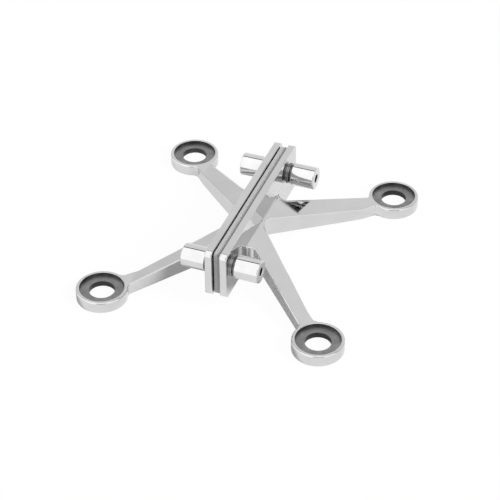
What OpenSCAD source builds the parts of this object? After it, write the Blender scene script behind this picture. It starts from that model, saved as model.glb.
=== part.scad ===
// Four-point spider clamp that carries glass panes on a vertical glass fin.
// Two castings, each a clamp plate with two arms that end in ring bosses, are
// pulled together by two barrel bolts over a pair of gaskets.
// X runs across the clamp plates, Y along them, Z up.
// The origin is the middle of the clamp, level with the undersides of the rings.

/* [Layout] */
// Distance between the ring bores across the clamp
pitch_x = 220; // [200:1:240]
// Distance between the ring bores along the clamp
pitch_y = 238; // [220:1:260]

/* [Clamp plates] */
// Length of each clamp plate
plate_len = 197; // [186:1:210]
// Height of each clamp plate
plate_h = 51; // [47:1:60]
// Thickness of each clamp plate
plate_t = 7; // [5:0.5:10]
// Height of the plates' lower edges over the ring undersides
plate_z = 15; // [12:0.5:16]
// Radius of the plates' four corners, seen from the side
plate_corner_r = 6; // [2:0.5:10]
// Rounding of the plates' long edges
plate_edge_r = 0.8; // [0.3:0.1:2]

/* [Gaskets] */
// Thickness of one gasket sheet
gasket_t = 3.5; // [2:0.5:6]
// Free space left between the gaskets and the clamp as it is shown
fin_play = 1; // [0.2:0.1:3]
// How far the gaskets stay short of the plates' ends
gasket_end_inset = 4; // [1:0.5:10]
// How far the gaskets stay below the plates' upper edges
gasket_top_inset = 2; // [0.5:0.5:8]
// Radius of the gaskets' corners
gasket_corner_r = 4; // [1:0.5:8]

/* [Ring bosses] */
// Outer diameter of a ring
ring_d = 50.4; // [48:0.2:56]
// Height of a ring
ring_h = 12.2; // [10:0.2:16]
// Diameter of the recess in each face of a ring
recess_d = 43.8; // [36:0.2:46]
// Depth of each recess
recess_depth = 3.2; // [1.5:0.1:4]
// Diameter of the bore through the ring's web
bore_d = 25.4; // [18:0.2:32]
// Rounding of the ring's outer rims
ring_edge_r = 1.4; // [0.2:0.1:1.8]

/* [Arms] */
// Width of an arm where its centreline meets the clamp plate
arm_root_w = 22; // [16:0.2:26]
// Width of an arm at the ring's centre, before the ring covers it
arm_tip_w = 13.2; // [10:0.2:18]
// Distance from the clamp's middle to an arm's centreline at the plate
arm_root_y = 18.7; // [16:0.1:26]
// Height of an arm's upper face at the plate
arm_root_top = 39; // [32:0.5:44]
// Height of an arm's lower face at the plate
arm_root_bottom = 18.8; // [17:0.2:24]
// Distance across the clamp from a ring's centre over which an arm runs level
arm_level = 23; // [18:0.5:34]
// Fillet between an arm's sides and its ring
arm_ring_fillet = 4.5; // [1:0.5:8]
// Fillet between an arm's outer side and the plate
arm_plate_fillet = 6; // [1:0.5:10]
// Fillet in the fork between the two arms of a casting
fork_fillet = 11; // [6:0.5:20]

/* [Barrel bolts] */
// Distance of each bolt axis from the nearer end of the clamp plates
bolt_inset = 19; // [14.5:0.5:28.5]
// Height of the bolt axes over the plates' lower edges
bolt_up = 27.5; // [22:0.5:30]
// Nominal thread diameter of the bolts
bolt_d = 12; // [10:0.5:14]
// Thread pitch of the bolts
thread_pitch = 1.75; // [1:0.05:2.5]
// Gap all round a bolt in the holes of the plates, gaskets and washers
hole_clear = 0.5; // [0.2:0.05:0.9]
// Gap all round a bolt's thread inside its barrel nut
thread_clear = 0.05; // [0.02:0.01:0.09]
// Diameter of a barrel head and of a barrel nut
barrel_d = 23; // [20.5:0.5:26]
// Length of a barrel
barrel_len = 24; // [20:0.5:30]
// Rounding of a barrel's outer rim
barrel_rim_r = 1.2; // [0.3:0.1:2]
// Diameter of the collar between a barrel and its washer
collar_d = 18; // [16:0.5:19.5]
// Length of that collar
collar_len = 2.8; // [1:0.1:4]
// Size of the hex sockets across their flats
socket_af = 8; // [6:0.5:10]
// Depth of the hex sockets
socket_depth = 5; // [3:0.5:6]
// Metal left between a barrel nut's socket and its thread
socket_wall = 1.5; // [1:0.25:3]
// Room between a bolt's end and the bottom of its barrel nut
end_room = 1.5; // [1:0.25:4]

/* [Washers] */
// Outer diameter of a washer
washer_d = 21; // [19:0.5:25]
// Thickness of a washer
washer_t = 1.5; // [1:0.1:3]

/* [Hidden] */
$fn = 96;

// Planes of the clamp, counted outward from its middle
plate_in = gasket_t + fin_play / 2;
plate_mid = plate_in + plate_t / 2;
plate_out = plate_in + plate_t;
washer_out = plate_out + washer_t;
bolt_y = plate_len / 2 - bolt_inset;
barrel_in = washer_out + collar_len;
barrel_out = barrel_in + barrel_len;
bolt_z = plate_z + bolt_up;
plate_top = plate_z + plate_h;
gasket_mid = plate_in - gasket_t;

// Bolt holes and the nut's thread
hole_d = bolt_d + 2 * hole_clear;
thread_d = bolt_d + 2 * thread_clear;
thread_h = thread_pitch * sqrt(3) / 2 * 5 / 8;
thread_end = barrel_out - socket_depth - socket_wall;
bolt_end = thread_end - end_room;

// Centreline of an arm, from the plate's outer face to the ring's centre
ring_x = pitch_x / 2;
ring_y = pitch_y / 2;
arm_dx = ring_x - plate_out;
arm_dy = ring_y - arm_root_y;
arm_len = norm([arm_dx, arm_dy]);
arm_ang = atan2(arm_dy, arm_dx);
arm_taper = atan((arm_root_w - arm_tip_w) / 2 / arm_len);
arm_back = 2 * plate_t + arm_root_w;
level_x = ring_x - arm_level;

// Half the arm's width at a distance along its centreline
function arm_half(s) = (arm_root_w + (arm_tip_w - arm_root_w) * s / arm_len) / 2;

// A point of the arm's own plan, placed on the casting
function arm_point(s, w) = [
    plate_out + s * cos(arm_ang) - w * sin(arm_ang),
    arm_root_y + s * sin(arm_ang) + w * cos(arm_ang)];

// Height of an arm's sloping face where it is cut off inside the plate
function arm_height(root, tip) =
    tip + (root - tip) * (level_x - plate_mid) / (level_x - plate_out);

// Rectangle with rounded corners, its lower edge on y = 0
module rounded_bar(w, h, r) {
    translate([-w / 2 + r, 0]) square([w - 2 * r, h]);
    translate([-w / 2, r]) square([w, h - 2 * r]);
    for (x = [-w / 2 + r, w / 2 - r], y = [r, h - r])
        translate([x, y]) circle(r);
}

// Sheet that stands in the clamp: an outline along Y, rounded at its corners
module upright_sheet(x, t, len, h, z, r) {
    translate([x, 0, z])
        rotate([90, 0, 90])
            linear_extrude(t)
                rounded_bar(len, h, r);
}

module bolt_holes(x, len, d) {
    for (y = [-bolt_y, bolt_y])
        translate([x, y, bolt_z])
            rotate([0, 90, 0])
                cylinder(h = len, d = d);
}

// Clamp plate with rounded corners and softened edges
module clamp_plate() {
    intersection() {
        upright_sheet(plate_in, plate_t, plate_len, plate_h, plate_z, plate_corner_r);
        translate([plate_mid, plate_len / 2, plate_z])
            rotate([90, 0, 0])
                linear_extrude(plate_len)
                    rounded_bar(plate_t, plate_h, plate_edge_r);
        translate([plate_mid, -plate_len / 2, plate_z])
            linear_extrude(plate_h)
                rounded_bar(plate_t, plate_len, plate_edge_r);
    }
}

// Fillet of an arm's side against its ring, in the arm's own plan
module ring_fillet_plan() {
    out = ring_d / 2 + arm_ring_fillet;
    off = arm_ring_fillet + arm_tip_w / 2 * cos(arm_taper);
    back = sqrt(out * out - off * off);
    c = [arm_len + off * sin(arm_taper) - back * cos(arm_taper),
         off * cos(arm_taper) + back * sin(arm_taper)];
    on_side = c - arm_ring_fillet * [sin(arm_taper), cos(arm_taper)];
    on_ring = [arm_len, 0] + (c - [arm_len, 0]) * ring_d / 2 / out;
    difference() {
        polygon([on_side, c, on_ring, [arm_len, 0], [on_side[0], 0]]);
        translate(c) circle(arm_ring_fillet);
    }
}

// Fillet of an arm's outer side against the plate's outer face
module plate_fillet_plan() {
    a = arm_ang - arm_taper;
    n = [-sin(a), cos(a)];
    p = arm_point(0, arm_root_w / 2);
    cx = plate_out + arm_plate_fillet;
    cy = p[1] + (arm_plate_fillet - (cx - p[0]) * n[0]) / n[1];
    c = [cx, cy];
    difference() {
        polygon([[plate_mid, cy], c, c - arm_plate_fillet * n,
                 [plate_mid, p[1] - (plate_mid - p[0]) * n[0] / n[1]]]);
        translate(c) circle(arm_plate_fillet);
    }
}

// Half of the fillet in the fork between the two arms
module fork_fillet_plan() {
    a = arm_ang + arm_taper;
    n = [sin(a), -cos(a)];
    p = arm_point(0, -arm_root_w / 2);
    cx = (fork_fillet + p * n) / n[0];
    c = [cx, 0];
    difference() {
        polygon([[plate_mid, 0], c, c - fork_fillet * n,
                 [plate_mid, max(0, p[1] - (plate_mid - p[0]) * n[0] / n[1])]]);
        translate(c) circle(fork_fillet);
    }
}

// Outline of one arm seen from above
module arm_plan() {
    intersection() {
        union() {
            translate([plate_out, arm_root_y]) rotate(arm_ang) {
                polygon([[-arm_back, -arm_half(-arm_back)], [arm_len, -arm_half(arm_len)],
                         [arm_len, arm_half(arm_len)], [-arm_back, arm_half(-arm_back)]]);
                ring_fillet_plan();
                mirror([0, 1]) ring_fillet_plan();
            }
            plate_fillet_plan();
            fork_fillet_plan();
        }
        translate([plate_mid, 0]) square([ring_x, pitch_y]);
    }
}

// Front view of one arm: its faces climb from the ring to the plate
module arm_front() {
    polygon([[plate_mid, arm_height(arm_root_bottom, 0)],
             [level_x, 0], [ring_x, 0],
             [ring_x, ring_h], [level_x, ring_h],
             [plate_mid, arm_height(arm_root_top, ring_h)]]);
}

module arm() {
    intersection() {
        linear_extrude(plate_top) arm_plan();
        translate([0, pitch_y, 0])
            rotate([90, 0, 0])
                linear_extrude(pitch_y)
                    arm_front();
    }
}

module ring_blank() {
    rotate_extrude() {
        square([ring_d / 2 - ring_edge_r, ring_h]);
        translate([0, ring_edge_r])
            square([ring_d / 2, ring_h - 2 * ring_edge_r]);
        for (y = [ring_edge_r, ring_h - ring_edge_r])
            translate([ring_d / 2 - ring_edge_r, y])
                intersection() {
                    circle(ring_edge_r);
                    translate([0, -ring_edge_r]) square([ring_edge_r, 2 * ring_edge_r]);
                }
    }
}

module ring_cut() {
    translate([0, 0, -1]) cylinder(h = recess_depth + 1, d = recess_d);
    translate([0, 0, -1]) cylinder(h = ring_h + 2, d = bore_d);
    translate([0, 0, ring_h - recess_depth]) cylinder(h = recess_depth + 1, d = recess_d);
}

// One casting: the plate, its two arms and their rings
module casting() {
    difference() {
        union() {
            clamp_plate();
            arm();
            mirror([0, 1, 0]) arm();
            for (y = [-ring_y, ring_y]) translate([ring_x, y, 0]) ring_blank();
        }
        for (y = [-ring_y, ring_y]) translate([ring_x, y, 0]) ring_cut();
        bolt_holes(plate_in - 1, plate_t + 2, hole_d);
    }
}

module gasket(x) {
    difference() {
        upright_sheet(x, gasket_t, plate_len - 2 * gasket_end_inset,
                      plate_h - gasket_top_inset, plate_z, gasket_corner_r);
        bolt_holes(x - 1, gasket_t + 2, hole_d);
    }
}

// Collar and barrel, along +X from the washer's face
module barrel_blank() {
    translate([washer_out, 0, 0]) rotate([0, 90, 0]) rotate_extrude() {
        square([collar_d / 2, collar_len + 1]);
        translate([0, collar_len]) square([barrel_d / 2, barrel_len - barrel_rim_r]);
        translate([0, collar_len]) square([barrel_d / 2 - barrel_rim_r, barrel_len]);
        translate([barrel_d / 2 - barrel_rim_r, collar_len + barrel_len - barrel_rim_r])
            intersection() {
                circle(barrel_rim_r);
                square(barrel_rim_r);
            }
    }
}

// Plain shank with a tip chamfered to the depth of the thread
module shank(len) {
    rotate([0, 90, 0]) rotate_extrude()
        polygon([[0, 0], [bolt_d / 2, 0], [bolt_d / 2, len - thread_h],
                 [bolt_d / 2 - thread_h, len], [0, len]]);
}

// Threaded bore along +X, countersunk at its mouth
module thread_bore(len) {
    rotate([0, 90, 0]) rotate_extrude()
        polygon([[0, -1], [thread_d / 2 + thread_h, -1], [thread_d / 2 + thread_h, 0],
                 [thread_d / 2, thread_h], [thread_d / 2, len], [0, len]]);
}

module hex_socket() {
    translate([barrel_out - socket_depth, 0, 0])
        rotate([0, 90, 0])
            cylinder(h = socket_depth + 1, d = socket_af / cos(30), $fn = 6);
}

// Barrel bolt: its head on the left, its thread running through to the right
module barrel_bolt() {
    union() {
        mirror([1, 0, 0])
            difference() {
                barrel_blank();
                hex_socket();
            }
        translate([-washer_out - collar_len / 2, 0, 0])
            shank(bolt_end + washer_out + collar_len / 2);
    }
}

// Barrel nut: its thread starts at the collar and ends short of the socket
module barrel_nut() {
    difference() {
        barrel_blank();
        hex_socket();
        translate([washer_out, 0, 0]) thread_bore(thread_end - washer_out);
    }
}

module washer(x) {
    translate([x, 0, 0])
        rotate([0, 90, 0])
            difference() {
                cylinder(h = washer_t, d = washer_d);
                translate([0, 0, -1]) cylinder(h = washer_t + 2, d = hole_d);
            }
}

module at_near() { translate([0, -bolt_y, bolt_z]) children(); }
module at_far() { translate([0, bolt_y, bolt_z]) children(); }

module casting_right() { color([0.78, 0.78, 0.78]) casting(); }
module casting_left() { color([0.78, 0.78, 0.78]) mirror([1, 0, 0]) casting(); }
module gasket_right() { color([0.62, 0.62, 0.62]) gasket(gasket_mid); }
module gasket_left() { color([0.68, 0.68, 0.68]) gasket(gasket_mid - gasket_t); }
module bolt_near() { color([0.85, 0.85, 0.85]) at_near() barrel_bolt(); }
module bolt_far() { color([0.85, 0.85, 0.85]) at_far() barrel_bolt(); }
module nut_near() { color([0.85, 0.85, 0.85]) at_near() barrel_nut(); }
module nut_far() { color([0.85, 0.85, 0.85]) at_far() barrel_nut(); }
module washer_right_near() { color([0.7, 0.7, 0.7]) at_near() washer(plate_out); }
module washer_right_far() { color([0.7, 0.7, 0.7]) at_far() washer(plate_out); }
module washer_left_near() { color([0.7, 0.7, 0.7]) at_near() washer(-washer_out); }
module washer_left_far() { color([0.7, 0.7, 0.7]) at_far() washer(-washer_out); }

casting_right();
casting_left();
gasket_right();
gasket_left();
bolt_near();
bolt_far();
nut_near();
nut_far();
washer_right_near();
washer_right_far();
washer_left_near();
washer_left_far();
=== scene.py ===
"""Studio scene of a four-armed spider clamp for glass panes.

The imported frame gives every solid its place. The two castings and the gasket
sheets are dressed copies of their solids with softened edges; the barrel
bolts, barrel nuts and washers are surfaces worked out on grids, with hex
sockets and a rolled thread. All lengths are in metres.
"""

import logging
import math
from dataclasses import dataclass
from enum import Enum

import bmesh
import bpy
import numpy as np
from mathutils import Matrix, Vector


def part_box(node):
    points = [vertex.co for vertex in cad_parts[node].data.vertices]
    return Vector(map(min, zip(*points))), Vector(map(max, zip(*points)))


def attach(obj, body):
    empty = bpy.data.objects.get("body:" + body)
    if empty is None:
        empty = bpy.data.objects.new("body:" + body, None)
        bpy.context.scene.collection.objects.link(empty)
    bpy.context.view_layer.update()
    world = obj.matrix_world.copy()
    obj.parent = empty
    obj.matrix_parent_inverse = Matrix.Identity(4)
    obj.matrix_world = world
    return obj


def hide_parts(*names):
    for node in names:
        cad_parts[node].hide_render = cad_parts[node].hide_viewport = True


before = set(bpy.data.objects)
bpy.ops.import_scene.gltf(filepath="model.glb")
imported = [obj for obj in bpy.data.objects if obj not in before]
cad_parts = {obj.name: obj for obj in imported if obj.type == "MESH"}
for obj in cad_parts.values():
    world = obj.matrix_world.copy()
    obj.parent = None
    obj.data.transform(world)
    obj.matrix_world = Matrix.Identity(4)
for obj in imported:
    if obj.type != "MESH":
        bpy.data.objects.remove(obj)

LOG = logging.getLogger("spider_clamp")
MM = 0.001
# points nearer than this are one point, on new surfaces and on copies of solids
TOUCHING = 0.0001 * MM
SOLID_TOUCHING = 0.002 * MM
# allowance when faces are sorted by where they lie
SLACK = 0.05 * MM
# noise patterns hardly leave this range
NOISE_LOW, NOISE_HIGH = 0.3, 0.7
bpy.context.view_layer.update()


# ---------------------------------------------------------------- materials

def linear(hex_colour: str) -> tuple[float, float, float, float]:
    """Turns an sRGB hex colour into linear RGBA.

    Each channel c is c / 12.92 below 0.04045, else ((c + 0.055) / 1.055) to
    the power 2.4.

    Args:
        hex_colour: Six hex digits, such as "c8c8c6".

    Returns:
        Linear red, green, blue and an alpha of 1.
    """
    channels = [int(hex_colour[i:i + 2], 16) / 255 for i in (0, 2, 4)]
    red, green, blue = [c / 12.92 if c <= 0.04045 else ((c + 0.055) / 1.055) ** 2.4
                        for c in channels]
    return red, green, blue, 1.0


def add_node(tree: bpy.types.NodeTree, kind: str, inputs: dict[str | int, object] | None = None,
             **settings: object) -> bpy.types.Node:
    """Adds one node with its settings, values and links.

    Args:
        tree: Node tree that takes the node.
        kind: Blender's node type name, without the "ShaderNode" in front.
        inputs: Socket name or number to a value, or to an output to link.
        **settings: Properties of the node.

    Returns:
        The new node.
    """
    node = tree.nodes.new("ShaderNode" + kind)
    for key, value in settings.items():
        setattr(node, key, value)
    for key, value in (inputs or {}).items():
        if isinstance(value, bpy.types.NodeSocket):
            tree.links.new(value, node.inputs[key])
        else:
            node.inputs[key].default_value = value
    return node


@dataclass(frozen=True)
class Finish:
    """What every finish has: a name, a record slot, two tones and a roughness.

    The roughness goes up and down by swing.
    """

    name: str
    slot: str
    dark: str
    light: str
    roughness: float
    swing: float = 0.02

    def start(self) -> tuple[bpy.types.Material, bpy.types.NodeTree, bpy.types.Node,
                             bpy.types.NodeSocket]:
        """Makes the material with its shader and its object coordinates.

        Returns:
            The material, its tree, the Principled shader and the coordinates.
        """
        material = bpy.data.materials.new(self.name)
        material.use_nodes = True
        tree = material.node_tree
        shader = next(n for n in tree.nodes if n.type == "BSDF_PRINCIPLED")
        place = add_node(tree, "TexCoord").outputs["Object"]
        return material, tree, shader, place

    def tones(self, tree: bpy.types.NodeTree, factor: bpy.types.NodeSocket,
              low: float = NOISE_LOW, high: float = NOISE_HIGH) -> bpy.types.NodeSocket:
        """Runs a factor from the dark tone to the light one.

        Args:
            tree: The material's tree.
            factor: Grey pattern between 0 and 1.
            low: Factor at which the dark tone ends.
            high: Factor at which the light tone starts.

        Returns:
            The colour output.
        """
        ramp = add_node(tree, "ValToRGB", {"Fac": factor})
        for element, at, tone in zip(ramp.color_ramp.elements, (low, high),
                                     (self.dark, self.light)):
            element.position = at
            element.color = linear(tone)
        return ramp.outputs["Color"]

    def spread(self, tree: bpy.types.NodeTree,
               factor: bpy.types.NodeSocket) -> bpy.types.NodeSocket:
        """Runs the roughness up and down by a pattern.

        Args:
            tree: The material's tree.
            factor: Grey pattern between 0 and 1.

        Returns:
            The roughness output.
        """
        rough = add_node(tree, "MapRange", {"Value": factor, "From Min": NOISE_LOW,
                                            "From Max": NOISE_HIGH,
                                            "To Min": self.roughness - self.swing,
                                            "To Max": self.roughness + self.swing})
        return rough.outputs["Result"]


@dataclass(frozen=True)
class PolishedCasting(Finish):
    """Investment-cast stainless steel, belt-ground and buffed.

    Buffing leaves a bright satin mirror whose flats are very slightly wavy,
    with hairlines from the last belt and a faint haze from handling.
    """

    cloud: float = 30 * MM
    wave: float = 14 * MM
    wave_depth: float = 0.12 * MM
    wave_strength: float = 0.18
    hairline: float = 0.5 * MM
    hairline_depth: float = 0.01 * MM
    hairline_strength: float = 0.02
    edge_round: float = 2.4 * MM

    def material(self) -> bpy.types.Material:
        """Builds the material.

        Returns:
            The material.
        """
        material, tree, shader, place = self.start()
        haze = add_node(tree, "TexNoise", {"Vector": place, "Scale": 1 / self.cloud,
                                           "Detail": 3.0})
        wavy = add_node(tree, "TexNoise", {"Vector": place, "Scale": 1 / self.wave, "Detail": 1.0})
        # belt hairlines run across the clamp and are drawn about four times coarser than real
        drawn = add_node(tree, "Mapping", {"Vector": place, "Scale": (0.06, 1.0, 1.0)})
        lines = add_node(tree, "TexNoise", {"Vector": drawn.outputs["Vector"],
                                            "Scale": 1 / self.hairline, "Detail": 2.0})
        # the grinder's round on the edges is wider than the modelled one
        ground = add_node(tree, "Bevel", {"Radius": self.edge_round}, samples=16)
        swell = add_node(tree, "Bump", {"Height": wavy.outputs["Fac"],
                                        "Strength": self.wave_strength,
                                        "Distance": self.wave_depth,
                                        "Normal": ground.outputs["Normal"]})
        scored = add_node(tree, "Bump", {"Height": lines.outputs["Fac"],
                                         "Strength": self.hairline_strength,
                                         "Distance": self.hairline_depth,
                                         "Normal": swell.outputs["Normal"]})
        tree.links.new(self.tones(tree, haze.outputs["Fac"]), shader.inputs["Base Color"])
        tree.links.new(self.spread(tree, haze.outputs["Fac"]), shader.inputs["Roughness"])
        tree.links.new(scored.outputs["Normal"], shader.inputs["Normal"])
        shader.inputs["Metallic"].default_value = 1.0
        return material


@dataclass(frozen=True)
class BlastedSeat(Finish):
    """The rings' recesses and bores: turned, then bead-blasted from the face.

    Blasting leaves a dull dark grey metal with a fine even pitting. Upright
    walls and bores get smoother copies with darker tones, and the darker
    tones are painted shade for the hollow.
    """

    pit: float = 0.9 * MM
    pit_depth: float = 0.05 * MM
    pit_strength: float = 0.5
    cloud: float = 9 * MM
    swing: float = 0.06

    def material(self) -> bpy.types.Material:
        """Builds the material.

        Returns:
            The material.
        """
        material, tree, shader, place = self.start()
        # beads of about 0.1 mm are drawn near 1 mm across so that the grain shows
        grain = add_node(tree, "TexNoise", {"Vector": place, "Scale": 1 / self.pit, "Detail": 4.0,
                                            "Roughness": 0.7})
        cloud = add_node(tree, "TexNoise", {"Vector": place, "Scale": 1 / self.cloud,
                                            "Detail": 2.0})
        mixed = add_node(tree, "Math", {0: grain.outputs["Fac"], 1: cloud.outputs["Fac"]},
                         operation="ADD")
        half = add_node(tree, "Math", {0: mixed.outputs["Value"], 1: 0.5}, operation="MULTIPLY")
        pitted = add_node(tree, "Bump", {"Height": grain.outputs["Fac"],
                                         "Strength": self.pit_strength,
                                         "Distance": self.pit_depth})
        # the mean of two patterns varies less than one does, so its tones lie closer
        tree.links.new(self.tones(tree, half.outputs["Value"], low=0.35, high=0.65),
                       shader.inputs["Base Color"])
        tree.links.new(self.spread(tree, grain.outputs["Fac"]), shader.inputs["Roughness"])
        tree.links.new(pitted.outputs["Normal"], shader.inputs["Normal"])
        shader.inputs["Metallic"].default_value = 1.0
        return material


@dataclass(frozen=True)
class TurnedBarrel(Finish):
    """Bar-turned stainless steel, polished on the lathe.

    The tool's feed leaves fine rings round the barrel, which polishing keeps
    as a faint streak across the bright band of light.
    """

    feed: float = 0.35 * MM
    groove: float = 0.03
    groove_depth: float = 0.03 * MM
    cloud: float = 12 * MM
    swing: float = 0.03

    def material(self) -> bpy.types.Material:
        """Builds the material.

        Returns:
            The material.
        """
        material, tree, shader, place = self.start()
        # a real feed is near 0.1 mm; the rings are drawn about three times as far apart
        along = add_node(tree, "Mapping", {"Vector": place, "Scale": (1.0, 0.02, 0.02)})
        rings = add_node(tree, "TexNoise", {"Vector": along.outputs["Vector"],
                                            "Scale": 1 / self.feed, "Detail": 2.0})
        haze = add_node(tree, "TexNoise", {"Vector": place, "Scale": 1 / self.cloud,
                                           "Detail": 3.0})
        cut = add_node(tree, "Bump", {"Height": rings.outputs["Fac"], "Strength": self.groove,
                                      "Distance": self.groove_depth})
        tree.links.new(self.tones(tree, haze.outputs["Fac"]), shader.inputs["Base Color"])
        tree.links.new(self.spread(tree, rings.outputs["Fac"]), shader.inputs["Roughness"])
        tree.links.new(cut.outputs["Normal"], shader.inputs["Normal"])
        shader.inputs["Metallic"].default_value = 1.0
        return material


@dataclass(frozen=True)
class GasketSheet(Finish):
    """Pressed fibre gasket sheet in light grey.

    Calendered fibres give a matte surface with short flecks along the roll.
    """

    fleck: float = 1.4 * MM
    fleck_depth: float = 0.05 * MM
    fleck_strength: float = 0.15
    swing: float = 0.08

    def material(self) -> bpy.types.Material:
        """Builds the material.

        Returns:
            The material.
        """
        material, tree, shader, place = self.start()
        # fibres are about 0.3 mm wide and are drawn three times wider
        rolled = add_node(tree, "Mapping", {"Vector": place, "Scale": (1.0, 0.3, 1.0)})
        fibres = add_node(tree, "TexNoise", {"Vector": rolled.outputs["Vector"],
                                             "Scale": 1 / self.fleck, "Detail": 5.0,
                                             "Roughness": 0.65})
        raised = add_node(tree, "Bump", {"Height": fibres.outputs["Fac"],
                                         "Strength": self.fleck_strength,
                                         "Distance": self.fleck_depth})
        tree.links.new(self.tones(tree, fibres.outputs["Fac"]), shader.inputs["Base Color"])
        tree.links.new(self.spread(tree, fibres.outputs["Fac"]), shader.inputs["Roughness"])
        tree.links.new(raised.outputs["Normal"], shader.inputs["Normal"])
        return material


CASTING = PolishedCasting("polished_cast_stainless", "cast_steel", "d2d2d2", "dadada", 0.06)
SEAT = BlastedSeat("bead_blasted_stainless", "cast_steel", "7c7c7c", "a2a2a2", 0.42)
# painted shade: the recess walls and the bore take darker copies of the blasted finish, for the
# shade in the ring's hollow
WALL_PAINTED_SHADE = BlastedSeat("recess_wall_painted_shade", "cast_steel", "5a5a5a", "707070", 0.30)
BORE_PAINTED_SHADE = BlastedSeat("ring_bore_painted_shade", "cast_steel", "3a3a3a", "4c4c4c", 0.34)
BARREL = TurnedBarrel("lathe_polished_stainless", "turned_steel", "d6d6d6", "dedede", 0.09)
# painted shade: the as-turned finish is coarser than the barrel's, and its dark tone stands for the
# shade in the gap under the barrel and in the socket
COLLAR_PAINTED_SHADE = TurnedBarrel("as_turned_stainless_painted_shade", "turned_steel", "5c5c5c", "7c7c7c", 0.30,
                      feed=0.9 * MM, groove=0.5)
# the washers are stamped, but show too little for a recipe of their own
# painted shade: the washers' tones are darker than the steel, for the shade between collar and
# plate
WASHER_PAINTED_SHADE = TurnedBarrel("stamped_stainless_painted_shade", "washer_steel", "8c8c8c", "a4a4a4", 0.24)
SHEET_LIGHT = GasketSheet("fibre_sheet_light", "gasket_sheet", "b4b4b4", "bcbcbc", 0.75)
SHEET_DARK = GasketSheet("fibre_sheet_dark", "gasket_sheet", "a4a4a4", "aeaeae", 0.75)


# ------------------------------------------------------------------ meshes

def grid_mesh(name: str, points: np.ndarray, closed: bool) -> bpy.types.Mesh:
    """Makes a mesh from rows of points that go once round an axis.

    Point (i, j) is joined to (i, j + 1), (i + 1, j + 1) and (i + 1, j), with j
    taken round the row. Rows are joined into a loop if closed; otherwise
    the first and the last row are single poles and become fans.

    Args:
        name: Name of the mesh.
        points: Array of rows, columns and x, y, z.
        closed: True for a ring that closes on itself.

    Returns:
        The mesh, its faces pointing outwards.
    """
    rows, columns = points.shape[:2]
    i = np.arange(rows if closed else rows - 1)[:, None]
    j = np.arange(columns)[None, :]
    below, beside = (i + 1) % rows, (j + 1) % columns
    quads = np.stack(np.broadcast_arrays(i * columns + j, i * columns + beside,
                                         below * columns + beside, below * columns + j), axis=-1)
    mesh = bpy.data.meshes.new(name)
    mesh.from_pydata(points.reshape(-1, 3).tolist(), [], quads.reshape(-1, 4).tolist())
    work = bmesh.new()
    work.from_mesh(mesh)
    bmesh.ops.remove_doubles(work, verts=work.verts, dist=TOUCHING)
    bmesh.ops.recalc_face_normals(work, faces=work.faces)
    work.to_mesh(mesh)
    work.free()
    return mesh


def rounded_profile(corners: list[tuple[float, float, float]], steps: int = 5) -> np.ndarray:
    """Carries a path round its corners on arcs.

    At a corner with radius r the path leaves the straight at r * tan(half the
    turn) before the corner and comes back as far after it, on an arc of equal
    steps. A support point a third of the radius further out keeps the shading
    of the straights flat.

    Args:
        corners: Along, across and radius of each corner, in order.
        steps: Points on each arc, less one.

    Returns:
        Array of along and across.
    """
    at = np.array([c[:2] for c in corners])
    path = [at[0]]
    for before, here, after, (_, _, radius) in zip(at, at[1:], at[2:], corners[1:]):
        if radius <= 0:
            path.append(here)
            continue
        back = (before - here) / np.linalg.norm(before - here)
        on = (after - here) / np.linalg.norm(after - here)
        turn = math.pi - math.acos(float(np.clip(back @ on, -1, 1)))
        reach = radius * math.tan(turn / 2)
        middle = here + (back + on) / np.linalg.norm(back + on) * radius / math.cos(turn / 2)
        ends = here + back * reach - middle, here + on * reach - middle
        share = np.linspace(0, 1, steps + 1)[:, None]
        arc = middle + (np.sin((1 - share) * turn) * ends[0] + np.sin(share * turn) * ends[1]) \
            / math.sin(turn)
        path += [here + back * (reach + radius / 3), *arc, here + on * (reach + radius / 3)]
    path.append(at[-1])
    return np.array(path)


def round_axis(along: np.ndarray, radius: np.ndarray, angle: np.ndarray,
               centre: tuple[float, float]) -> np.ndarray:
    """Places a surface round an axis that runs along X.

    Point = (along, cy + radius * cos(angle), cz + radius * sin(angle)).

    Args:
        along: X of each point.
        radius: Distance from the axis.
        angle: Angle from +Y towards +Z.
        centre: Y and Z of the axis.

    Returns:
        Array of points with x, y, z last.
    """
    along, radius, angle = np.broadcast_arrays(along, radius, angle)
    return np.stack([along, centre[0] + radius * np.cos(angle),
                     centre[1] + radius * np.sin(angle)], axis=-1)


def hexagon(angle: np.ndarray, across_flats: float) -> np.ndarray:
    """Polar radius of a hexagon with flats at 0, 60, ... degrees.

    Half the width across the flats, over the cosine of the angle to the
    nearest flat's middle.

    Args:
        angle: Angles at which the radius is wanted.
        across_flats: Width across the flats.

    Returns:
        The radius at each angle.
    """
    sixth = math.pi / 3
    return across_flats / 2 / np.cos((angle + sixth / 2) % sixth - sixth / 2)


def new_piece(name: str, mesh: bpy.types.Mesh, materials: list[bpy.types.Material],
              body: str, nodes: list[str]) -> bpy.types.Object:
    """Links a piece at the origin, hangs it on the body that it rides on and hides the CAD nodes
    that it replaces.

    Args:
        name: Name of the piece.
        mesh: Its mesh, in place.
        materials: Materials for its slots.
        body: Body that it rides on.
        nodes: CAD nodes that it replaces.

    Returns:
        The object.
    """
    piece = bpy.data.objects.new(name, mesh)
    bpy.context.scene.collection.objects.link(piece)
    for material in materials:
        mesh.materials.append(material)
    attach(piece, body)
    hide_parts(*nodes)
    LOG.info("%s: %d faces on %s", name, len(mesh.polygons), body)
    return piece


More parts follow.
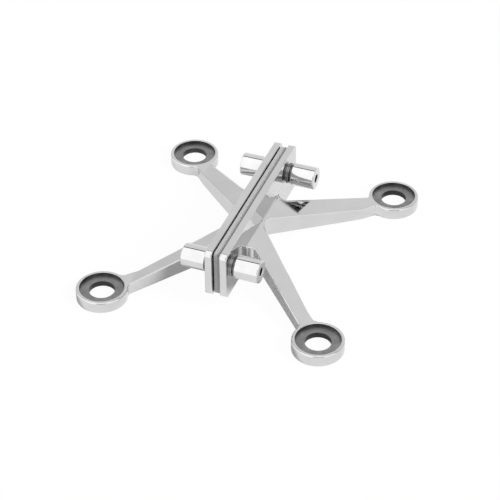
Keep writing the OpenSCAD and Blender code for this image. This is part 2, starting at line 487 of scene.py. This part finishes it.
def softened_copy(node: str, name: str, width: float, steps: int, flat: float = 0.25,
                  crease: float = 32.0) -> bpy.types.Mesh:
    """Copies a node's mesh and rounds its sharp edges.

    Loose corners are merged, faces in one plane are joined into one, and
    every edge that turns by more than the crease angle is rounded.

    Args:
        node: CAD node.
        name: Name of the new mesh.
        width: Reach of the rounding on each side of an edge.
        steps: Faces across the rounding.
        flat: Degrees within which faces count as one plane.
        crease: Degrees past which an edge is rounded.

    Returns:
        The new mesh, shaded smooth with flats kept flat.
    """
    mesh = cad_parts[node].data.copy()
    mesh.name = name
    mesh.materials.clear()
    if mesh.has_custom_normals:
        mesh.attributes.remove(mesh.attributes["custom_normal"])
    work = bmesh.new()
    work.from_mesh(mesh)
    bmesh.ops.remove_doubles(work, verts=work.verts, dist=SOLID_TOUCHING)
    bmesh.ops.dissolve_limit(work, angle_limit=math.radians(flat), verts=work.verts,
                             edges=work.edges)
    work.to_mesh(mesh)
    work.free()
    carrier = bpy.data.objects.new(name + "_work", mesh)
    bpy.context.scene.collection.objects.link(carrier)
    bevel = carrier.modifiers.new("softened", "BEVEL")
    bevel.width = width
    bevel.segments = steps
    bevel.limit_method = "ANGLE"
    bevel.angle_limit = math.radians(crease)
    bevel.miter_outer = "MITER_ARC"
    bevel.harden_normals = True
    bevel.use_clamp_overlap = True
    mesh.shade_smooth()
    done = bpy.data.meshes.new_from_object(
        carrier.evaluated_get(bpy.context.evaluated_depsgraph_get()))
    done.name = name
    bpy.data.objects.remove(carrier)
    return done


# ------------------------------------------------------------------ pieces

class Side(Enum):
    """The two halves of the clamp, by the sign of X."""

    LEFT = -1
    RIGHT = 1


class End(Enum):
    """The two ends of the clamp plates, by the sign of Y."""

    NEAR = -1
    FAR = 1


@dataclass
class Casting:
    """A clamp plate with its two arms and rings, cast in one."""

    side: Side
    edge: float = 0.5 * MM
    ring_x: float = 110 * MM
    ring_y: float = 119 * MM
    recess_r: float = 21.9 * MM
    bore_r: float = 12.7 * MM

    def dress(self) -> bpy.types.Object:
        """Builds the piece and gives its recesses and bores their own finishes.

        A face belongs to a recess where its outermost corner lies within the
        recess's radius of the nearer ring's axis. Its level faces get the blasted
        finish, its upright ones a darker copy and the bore's a darker one still:
        the darker tones are painted shade for the hollow.

        Returns:
            The piece.
        """
        word = self.side.name.lower()
        mesh = softened_copy(f"casting_{word}", f"spider_half_{word}", self.edge, steps=3)
        piece = new_piece(f"spider_half_{word}", mesh,
                          [CASTING.material(), SEAT.material(), WALL_PAINTED_SHADE.material(),
                           BORE_PAINTED_SHADE.material()],
                          f"{word}_half", [f"casting_{word}"])
        spots = np.empty(len(mesh.vertices) * 3)
        mesh.vertices.foreach_get("co", spots)
        x, y, _ = np.abs(spots.reshape(-1, 3)).T
        corner = np.empty(len(mesh.loops), np.int32)
        mesh.loops.foreach_get("vertex_index", corner)
        first = np.empty(len(mesh.polygons), np.int32)
        mesh.polygons.foreach_get("loop_start", first)
        reach = np.hypot(x - self.ring_x, y - self.ring_y)[corner]
        outermost = np.maximum.reduceat(reach, first) - SLACK
        inside = outermost < self.recess_r
        normal = np.empty(len(mesh.polygons) * 3)
        mesh.polygons.foreach_get("normal", normal)
        # upright is within 30 degrees of it
        upright = np.abs(normal.reshape(-1, 3)[:, 2]) < 0.5
        # painted shade: upright faces in a recess get the darker wall tones, and those in the bore
        # darker ones still
        kind = np.where(inside, 1 + upright + (upright & (outermost < self.bore_r)), 0)
        mesh.polygons.foreach_set("material_index", kind.astype(np.int32))
        return piece


@dataclass
class Gasket:
    """One of the two sheets that lie between the plates."""

    node: str
    finish: GasketSheet
    edge: float = 0.3 * MM

    def dress(self) -> bpy.types.Object:
        """Builds the piece.

        Returns:
            The piece.
        """
        mesh = softened_copy(self.node, f"fibre_{self.node}", self.edge, steps=2)
        return new_piece(f"fibre_{self.node}", mesh, [self.finish.material()], "right_half",
                         [self.node])


@dataclass
class Washer:
    """A stamped washer under a barrel's collar."""

    side: Side
    end: End
    rim_r: float = 10.5 * MM
    hole_r: float = 6.5 * MM
    edge: float = 0.25 * MM
    columns: int = 72
    crease: float = 40.0

    def dress(self) -> bpy.types.Object:
        """Builds the washer: a rounded rectangle carried once round X.

        Returns:
            The piece.
        """
        node = f"washer_{self.side.name}_{self.end.name}".lower()
        low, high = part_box(node)
        x0, x1, mid = low[0], high[0], (self.rim_r + self.hole_r) / 2
        section = rounded_profile([(x0, mid, 0), (x0, self.rim_r, self.edge),
                                   (x1, self.rim_r, self.edge), (x1, self.hole_r, self.edge),
                                   (x0, self.hole_r, self.edge), (x0, mid, 0)], steps=4)[:-1]
        angle = np.arange(self.columns) * math.tau / self.columns
        points = round_axis(section[:, :1], section[:, 1:], angle[None, :],
                            ((low[1] + high[1]) / 2, (low[2] + high[2]) / 2))
        mesh = grid_mesh(f"flat_{node}", points, True)
        mesh.shade_smooth()
        mesh.set_sharp_from_angle(angle=math.radians(self.crease))
        return new_piece(f"flat_{node}", mesh, [WASHER_PAINTED_SHADE.material()],
                         f"{self.side.name.lower()}_half", [node])


@dataclass
class Barrel:
    """Shape that a barrel bolt's head and a barrel nut share.

    x is measured outward from the washer, along the bolt's axis.
    """

    end: End
    barrel_r: float = 11.5 * MM
    barrel_len: float = 24 * MM
    collar_r: float = 9 * MM
    collar_len: float = 2.8 * MM
    collar_edge: float = 0.3 * MM
    shoulder: float = 0.4 * MM
    rim: float = 1.2 * MM
    socket_af: float = 8 * MM
    socket_depth: float = 5 * MM
    socket_fillet: float = 0.2 * MM
    socket_cone: float = 0.8 * MM
    floor_share: float = 0.97
    cone_share: float = 0.6
    mouth: float = 0.45 * MM
    mouth_edge: float = 0.15 * MM
    thread_r: float = 6 * MM
    pitch: float = 1.75 * MM
    columns: int = 72
    crease: float = 38.0

    @property
    def face(self) -> float:
        """Distance from the washer to the barrel's end face."""
        return self.collar_len + self.barrel_len

    @property
    def corner_r(self) -> float:
        """Distance from the axis to a corner of the hex socket."""
        return self.socket_af / 2 / math.cos(math.pi / 6)

    def angles(self) -> np.ndarray:
        """Angles of the columns, with the hexagon's corners among them."""
        return (np.arange(self.columns) * math.tau / self.columns)[None, :]

    def head_rows(self, start: list[tuple[float, float, float]]) -> tuple[np.ndarray, np.ndarray]:
        """Rows from a given inner path out to the rim of the socket's mouth.

        Args:
            start: Corners of the path up to the collar's inner face.

        Returns:
            Along and radius of each row.
        """
        path = rounded_profile([
            *start,
            (0, self.collar_r, self.collar_edge),
            (self.collar_len, self.collar_r, self.collar_edge),
            (self.collar_len, self.barrel_r, self.shoulder),
            (self.face, self.barrel_r, self.rim),
            (self.face, self.corner_r + self.mouth, self.mouth_edge),
            (self.face - self.mouth, self.corner_r, 0)], steps=6)[:-1]
        return path[:, :1], path[:, 1:]

    def socket_rows(self) -> tuple[np.ndarray, np.ndarray]:
        """Rows of the hex socket: chamfered mouth, flats, floor and its pole.

        The floor starts at floor_share of the flats' radius and the drill's
        cone at cone_share of it. A support row close under the mouth keeps
        the flats' shading flat.

        Returns:
            Along and radius of each row.
        """
        flats = hexagon(self.angles(), self.socket_af)
        depth = np.array([self.mouth, 1.5 * self.mouth, self.socket_depth - self.socket_fillet,
                          self.socket_depth, self.socket_depth,
                          self.socket_depth + self.socket_cone])[:, None]
        share = np.array([1, 1, 1, self.floor_share, self.cone_share, 0])[:, None]
        return self.face - depth, share * flats

    def lay(self, name: str, parts: list[tuple[np.ndarray, np.ndarray]], x0: float, sign: int,
            centre: tuple[float, float]) -> bpy.types.Mesh:
        """Stacks rows into one closed surface.

        The barrel's outside is polished; the collar, the thread and the
        socket stay as turned, with a dark tone that is painted shade for the
        gap under the barrel and the socket's hollow.

        Args:
            name: Name of the mesh.
            parts: Along and radius arrays, from pole to pole.
            x0: X of the washer's face.
            sign: 1 for a piece that runs to +X, -1 for one that runs to -X.
            centre: Y and Z of the axis.

        Returns:
            The mesh.
        """
        angle = self.angles()
        along = np.concatenate([np.broadcast_to(a, (len(a), self.columns)) for a, _ in parts])
        radius = np.concatenate([np.broadcast_to(r, (len(r), self.columns)) for _, r in parts])
        mesh = grid_mesh(name, round_axis(x0 + sign * along, radius, angle, centre), False)
        mesh.shade_smooth()
        mesh.set_sharp_from_angle(angle=math.radians(self.crease))
        middle = np.empty(len(mesh.polygons) * 3)
        mesh.polygons.foreach_get("center", middle)
        x, y, z = middle.reshape(-1, 3).T
        out = (x - x0) * sign
        from_axis = np.hypot(y - centre[0], z - centre[1])
        outside = (out > self.collar_len - SLACK) & (from_axis > self.collar_r)
        # the chamfer of the socket's mouth goes with the end face
        end_face = out > self.face - self.mouth / 2 - SLACK
        # the second slot's dark tone is painted shade for the collar's gap, the thread and the
        # socket
        mesh.polygons.foreach_set("material_index",
                                  np.where(outside | end_face, 0, 1).astype(np.int32))
        return mesh


@dataclass
class BarrelNut(Barrel):
    """Barrel nut with a blind thread bore and a hex socket."""

    bore_len: float = 20.3 * MM
    bore_play: float = 0.05 * MM
    bore_fillet: float = 0.2 * MM
    sink: float = 0.95 * MM
    sink_edge: float = 0.1 * MM

    def dress(self) -> bpy.types.Object:
        """Builds the nut: bore, countersink, collar, barrel and socket.

        Returns:
            The piece.
        """
        word = self.end.name.lower()
        low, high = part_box(f"nut_{word}")
        bore_r = self.thread_r + self.bore_play
        head = self.head_rows([(self.bore_len, 0, 0), (self.bore_len, bore_r, self.bore_fillet),
                               (self.sink, bore_r, self.sink_edge),
                               (0, bore_r + self.sink, self.sink_edge)])
        mesh = self.lay(f"barrel_nut_{word}", [head, self.socket_rows()], low[0], 1,
                        ((low[1] + high[1]) / 2, (low[2] + high[2]) / 2))
        return new_piece(f"barrel_nut_{word}", mesh, [BARREL.material(), COLLAR_PAINTED_SHADE.material()],
                         f"barrel_nut_{word}", [f"nut_{word}"])


@dataclass
class BarrelBolt(Barrel):
    """Barrel bolt: head like the nut, and a shank with a rolled thread."""

    plain_len: float = 3.5 * MM
    flank: float = 1.45
    crest: float = 0.18
    nose_r: float = 0.5 * MM
    nose_edge: float = 0.2 * MM
    rows_per_pitch: int = 12

    def dress(self) -> bpy.types.Object:
        """Builds the bolt.

        The thread's radius is the crest's, less the thread depth times a
        clipped triangle wave of along / pitch + the share of the turn; the
        clipping leaves flats on crest and root. It fades in over half a pitch
        past the plain shank and runs off on the tip's chamfer.

        Returns:
            The piece.
        """
        word = self.end.name.lower()
        low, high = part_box(f"bolt_{word}")
        length = high[0] - low[0]
        tip = length - self.collar_len - self.barrel_len
        # a metric thread is 5/8 as deep as its sharp triangle is high
        depth = self.pitch * math.sqrt(3) / 2 * 5 / 8
        count = int((tip - self.plain_len) / self.pitch * self.rows_per_pitch)
        along = -np.linspace(tip, self.plain_len, count)[:, None]
        turn = self.angles() / math.tau
        # the head lies at -X, so along runs against X and the thread stays right-handed
        wave = np.abs(((-along / self.pitch - turn) % 1.0) * 2 - 1)
        cut = np.clip(wave * self.flank - self.crest, 0, 1)
        fade = np.clip((-along - self.plain_len) / (self.pitch / 2), 0, 1)
        chamfer = self.thread_r - depth + (tip + along)
        shank = np.minimum(self.thread_r - depth * cut * fade, np.maximum(chamfer, self.nose_r))
        nose = (np.full((2, 1), -tip),
                np.array([[0], [self.thread_r - depth - self.nose_edge]]))
        head = self.head_rows([(-self.plain_len, self.thread_r, 0),
                               (0, self.thread_r, self.collar_edge)])
        mesh = self.lay(f"barrel_bolt_{word}", [nose, (along, shank), head, self.socket_rows()],
                        low[0] + self.collar_len + self.barrel_len, -1,
                        ((low[1] + high[1]) / 2, (low[2] + high[2]) / 2))
        return new_piece(f"barrel_bolt_{word}", mesh, [BARREL.material(), COLLAR_PAINTED_SHADE.material()],
                         "left_half", [f"bolt_{word}"])


# ------------------------------------------------------------------ studio

@dataclass
class Studio:
    """Pale floor, soft light from all sides and the camera.

    Angles are in degrees. The floor's painted zones are metres from the
    origin, or along the diagonals for the painted white patch. The tent's seam
    and gap are cosines of a direction to an axis, and pairs of them are where
    an edge starts and ends.
    The flag, a painted dark reflection, has its corners in millimetres on the
    far right arm's top, whose slope is its rise over its run.
    """

    azimuth: float = 20.90
    elevation: float = 38.35
    roll: float = -0.46
    distance: float = 1.79374
    lens: float = 129.453
    shift_x: float = -0.0047
    shift_y: float = -0.00144
    floor_half: float = 6.0
    floor_drop: float = 0.05 * MM
    paper: str = "f2f2f2"
    lens_white: float = 0.965
    glossy_white: float = 0.2
    painted_white_from: float = 0.16
    painted_white_to: float = 0.42
    painted_glow_to: float = 0.50
    painted_patch_end: tuple[float, float] = (0.03, 0.055)
    painted_patch_side: tuple[float, float] = (0.022, 0.012)
    painted_patch_white: float = 0.75
    back: float = 0.87
    front: float = 1.36
    side: float = 0.84
    side_reach: tuple[float, float] = (0.40, 0.75)
    seam_angle: float = 72.0
    seam_width: float = 0.15
    seam_soft: float = 0.02
    seam_reach: tuple[float, float] = (0.45, 0.65)
    seam_level: float = 0.06
    gap_half: tuple[float, float] = (0.30, 0.38)
    gap_height: tuple[float, float] = (0.66, 0.81)
    gap_ahead: float = 0.2
    gap_depth: float = 0.65
    ambient: float = 0.38
    key: float = 3.5
    key_width: float = 24.0
    key_from: tuple[float, float, float] = (1.0, -0.1, 0.8)
    arm_slope: float = 26.8 / 76
    hang: float = 0.10
    flag_on: tuple[tuple[float, float, float], ...] = ((12.7, 45.6, 38.4), (36.6, 39.8, 30.0),
                                                       (41.2, 63.0, 28.4))
    blades: tuple[tuple[float, float], ...] = ((-0.04, 0.44), (0.49, 0.73), (0.76, 1.06))
    blade_gap: float = 0.04

    @property
    def to_lens(self) -> tuple[float, float, float]:
        """Direction from the origin to the lens."""
        a, e = math.radians(self.azimuth), math.radians(self.elevation)
        return math.sin(a) * math.cos(e), -math.cos(a) * math.cos(e), math.sin(e)

    def camera(self) -> None:
        """Sets the camera on its sphere round the frame's origin."""
        data = bpy.data.cameras.new("studio_camera")
        data.lens = self.lens
        data.sensor_width = 36.0
        data.shift_x, data.shift_y = self.shift_x, self.shift_y
        data.clip_start, data.clip_end = 0.05, 50.0
        camera = bpy.data.objects.new("studio_camera", data)
        bpy.context.scene.collection.objects.link(camera)
        back = Vector(self.to_lens)
        turn = (-back).to_track_quat("-Z", "Y").to_matrix().to_4x4()
        camera.matrix_world = (Matrix.Translation(back * self.distance) @ turn
                               @ Matrix.Rotation(math.radians(self.roll), 4, "Z"))
        bpy.context.scene.camera = camera

    def floor(self) -> None:
        """Lays a wide pale sheet under the rings."""
        half = self.floor_half
        corners = np.array([(-1, -1, 0), (1, -1, 0), (1, 1, 0), (-1, 1, 0)]) * half
        corners[:, 2] = -self.floor_drop
        mesh = bpy.data.meshes.new("studio_floor")
        mesh.from_pydata(corners.tolist(), [], [(0, 1, 2, 3)])
        floor = bpy.data.objects.new("studio_floor", mesh)
        bpy.context.scene.collection.objects.link(floor)
        mesh.materials.append(self.floor_material())

    def floor_material(self) -> bpy.types.Material:
        """White paper: plain to the lens, with the shadow kept faint.

        Polished metal sees three zones of it: more of the shadow near the
        object; a painted white patch under the far left arm and past it; and
        painted white further out, which glows brighter than white the further it lies.

        Returns:
            The material.
        """
        material = bpy.data.materials.new("white_paper_floor")
        material.use_nodes = True
        tree = material.node_tree
        tree.nodes.clear()
        paper = add_node(tree, "BsdfDiffuse", {"Color": linear(self.paper)})
        path = add_node(tree, "LightPath")
        place = add_node(tree, "TexCoord").outputs["Object"]
        far = add_node(tree, "VectorMath", {0: place}, operation="LENGTH").outputs["Value"]
        # painted light: further out metal sees the flat floor whiter
        painted_whitening = add_node(tree, "MapRange", {"Value": far, "From Min": self.painted_white_from,
                                            "From Max": self.painted_white_to,
                                            "To Min": self.glossy_white, "To Max": 1.0},
                         interpolation_type="SMOOTHSTEP")
        # painted light: a white patch for metal only, white past its end and its side, which run
        # along the two diagonals
        diagonal = math.sqrt(0.5)
        painted_patch = self.painted_patch_white
        for axis, start, end in (((-diagonal, diagonal, 0.0), *self.painted_patch_end),
                                 ((diagonal, diagonal, 0.0), *self.painted_patch_side)):
            across = add_node(tree, "VectorMath", {0: place, 1: axis}, operation="DOT_PRODUCT")
            painted_patch = add_node(tree, "MapRange", {"Value": across.outputs["Value"],
                                               "From Min": start, "From Max": end,
                                               "To Min": 0.0, "To Max": painted_patch},
                            interpolation_type="SMOOTHSTEP").outputs["Result"]
        bright = add_node(tree, "Math", {0: painted_whitening.outputs["Result"], 1: painted_patch},
                          operation="MAXIMUM")
        # painted glow: further out the floor shines brighter than white to metal
        painted_glow = add_node(tree, "MapRange", {"Value": far, "From Min": self.painted_white_from,
                                           "From Max": self.painted_glow_to,
                                           "To Min": 0.0, "To Max": self.front - 1.0})
        glow = add_node(tree, "Math", {0: path.outputs["Is Glossy Ray"],
                                       1: painted_glow.outputs["Result"], 2: 1.0},
                        operation="MULTIPLY_ADD")
        white = add_node(tree, "Emission", {"Color": (1, 1, 1, 1),
                                            "Strength": glow.outputs["Value"]})
        # glass and the lens get the white sheet, and metal gets more of the shadow on it
        lens = add_node(tree, "Math", {0: path.outputs["Is Camera Ray"],
                                       1: path.outputs["Is Transmission Ray"]}, operation="MAXIMUM")
        plain = add_node(tree, "Math", {0: lens.outputs["Value"], 1: self.lens_white},
                         operation="MULTIPLY")
        share = add_node(tree, "Math", {0: path.outputs["Is Glossy Ray"],
                                        1: bright.outputs["Value"],
                                        2: plain.outputs["Value"]}, operation="MULTIPLY_ADD")
        mix = add_node(tree, "MixShader", {0: share.outputs["Value"], 1: paper.outputs[0],
                                           2: white.outputs[0]})
        add_node(tree, "OutputMaterial", {"Surface": mix.outputs[0]})
        return material

    def world(self) -> None:
        """White tent with a seam overhead and a dim opening for the camera.

        The seam lies in a plane through the X axis. The sine of a direction's
        angle past that plane picks the cloth: back wall, seam or the brighter
        front sheet. The opening is where a direction lies near the camera's
        upright plane and not too high. Towards +X and -X the seam ends and
        the cloth is dimmer. Lens, metal and glass see the tent; matt
        surfaces are lit by a dimmer even light, which leaves the rest to the
        key lamp.
        """
        world = bpy.data.worlds.new("studio_world")
        bpy.context.scene.world = world
        world.use_nodes = True
        tree = world.node_tree
        tree.nodes.clear()
        place = add_node(tree, "TexCoord").outputs["Generated"]
        lean, turn = math.radians(self.seam_angle), math.radians(self.azimuth)
        axes = {"past": (0.0, -math.sin(lean), math.cos(lean)), "high": (0.0, 0.0, 1.0),
                "ahead": (math.sin(turn), -math.cos(turn), 0.0),
                "beside": (math.cos(turn), math.sin(turn), 0.0), "aside": (1.0, 0.0, 0.0)}
        value = {name: add_node(tree, "VectorMath", {0: place, 1: axis},
                                operation="DOT_PRODUCT").outputs["Value"]
                 for name, axis in axes.items()}
        for name in ("beside", "aside"):
            value[name] = add_node(tree, "Math", {0: value[name]},
                                   operation="ABSOLUTE").outputs["Value"]
        # each smooth step: the value it reads, where it starts and ends, its two levels
        steps = {"cloth": ("past", -self.seam_soft, 0.0, self.back, self.front),
                 "seam_on": ("past", -self.seam_width - self.seam_soft, -self.seam_width, 0.0, 1.0),
                 "seam_off": ("past", -self.seam_soft, 0.0, 1.0, 0.0),
                 "seam_end": ("aside", *self.seam_reach, 1.0, 0.0),
                 "sides": ("aside", *self.side_reach, 1.0, self.side),
                 "gap_side": ("beside", *self.gap_half, 1.0, 0.0),
                 "gap_top": ("high", *self.gap_height, 1.0, 0.0),
                 "gap_front": ("ahead", 0.0, self.gap_ahead, 0.0, self.gap_depth)}
        for name, (read, start, end, low, high) in steps.items():
            value[name] = add_node(tree, "MapRange",
                                   {"Value": value[read], "From Min": start, "From Max": end,
                                    "To Min": low, "To Max": high},
                                   interpolation_type="SMOOTHSTEP").outputs["Result"]
        path = add_node(tree, "LightPath")
        value["glossy"] = path.outputs["Is Glossy Ray"]
        value["through"] = path.outputs["Is Transmission Ray"]
        joins = (("seam", "seam_on", "seam_off", "MULTIPLY"),
                 ("seam", "seam", "seam_end", "MULTIPLY"),
                 ("gap", "gap_side", "gap_top", "MULTIPLY"),
                 ("gap", "gap", "gap_front", "MULTIPLY"),
                 ("shade", "seam", "gap", "MAXIMUM"),
                 ("cloth", "cloth", "sides", "MULTIPLY"),
                 ("seen", "glossy", "through", "MAXIMUM"))
        for name, one, other, operation in joins:
            value[name] = add_node(tree, "Math", {0: value[one], 1: value[other]},
                                   operation=operation).outputs["Value"]
        dim = add_node(tree, "MapRange", {"Value": value["shade"], "From Min": 0.0,
                                          "From Max": 1.0, "To Min": 1.0,
                                          "To Max": self.seam_level})
        tent = add_node(tree, "Math", {0: value["cloth"], 1: dim.outputs["Result"]},
                        operation="MULTIPLY")
        level = add_node(tree, "Mix", {"Factor": value["seen"], "A": self.ambient,
                                       "B": tent.outputs["Value"]})
        around = add_node(tree, "Background", {"Color": (1, 1, 1, 1),
                                               "Strength": level.outputs["Result"]})
        white = add_node(tree, "Background", {"Color": (1, 1, 1, 1), "Strength": 1.0})
        mix = add_node(tree, "MixShader", {0: path.outputs["Is Camera Ray"],
                                           1: around.outputs[0], 2: white.outputs[0]})
        add_node(tree, "OutputWorld", {"Surface": mix.outputs[0]})

    def flag(self) -> None:
        """Hangs a dark flag of three blades beyond the far right arm.

        Only the polish sees it, so it is a painted dark reflection on the arm's
        sloping top: each blade lies where that top mirrors the lens, at hang
        beyond the top's points. Blades fan out from the first corner, between
        shares of the way from the second to the third. A mirrored direction is
        2 (b . n) n - b, for the direction b to the lens and the top's normal n.
        """
        back = np.array(self.to_lens)
        tilt = math.atan(self.arm_slope)
        top = np.array([math.sin(tilt), 0.0, math.cos(tilt)])
        first, second, third = np.array(self.flag_on) * MM \
            + (2 * (back @ top) * top - back) * self.hang
        shares = np.array(self.blades)[:, :, None]
        ends = second + (third - second) * shares
        starts = first + (ends - first) * self.blade_gap
        spots = np.concatenate([starts, ends[:, ::-1]], axis=1).reshape(-1, 3)
        mesh = bpy.data.meshes.new("painted_reflection_flag")
        mesh.from_pydata(spots.tolist(), [], np.arange(len(spots)).reshape(-1, 4).tolist())
        material = bpy.data.materials.new("painted_reflection_black_cloth")
        material.use_nodes = True
        cloth = next(n for n in material.node_tree.nodes if n.type == "BSDF_PRINCIPLED")
        cloth.inputs["Base Color"].default_value = linear("141414")
        cloth.inputs["Roughness"].default_value = 1.0
        cloth.inputs["Specular IOR Level"].default_value = 0.0
        mesh.materials.append(material)
        flag = bpy.data.objects.new("painted_reflection_flag", mesh)
        bpy.context.scene.collection.objects.link(flag)
        # painted reflection: seen by no camera, lamp or shadow, only in reflections
        for kind in ("camera", "diffuse", "transmission", "volume_scatter", "shadow"):
            setattr(flag, f"visible_{kind}", False)

    def key_lamp(self) -> None:
        """Hangs a soft key on the right, which lays the shadows to the left."""
        data = bpy.data.lights.new("key_lamp", "SUN")
        data.energy = self.key
        data.angle = math.radians(self.key_width)
        lamp = bpy.data.objects.new("key_lamp", data)
        bpy.context.scene.collection.objects.link(lamp)
        lamp.matrix_world = (-Vector(self.key_from)).to_track_quat("-Z", "Y").to_matrix().to_4x4()
        lamp.visible_glossy = False

    def build(self) -> None:
        """Sets up the whole studio."""
        self.camera()
        self.floor()
        self.world()
        self.key_lamp()
        self.flag()
        bpy.context.scene.view_settings.view_transform = "Standard"


def main() -> None:
    """Builds the studio and every piece."""
    logging.basicConfig(level=logging.INFO, format="%(name)s: %(message)s")
    Studio().build()
    for side in Side:
        Casting(side).dress()
    Gasket("gasket_right", SHEET_DARK).dress()
    Gasket("gasket_left", SHEET_LIGHT).dress()
    for end in End:
        BarrelBolt(end).dress()
        BarrelNut(end).dress()
        for side in Side:
            Washer(side, end).dress()
    bpy.context.view_layer.update()


if __name__ == "__main__":
    main()
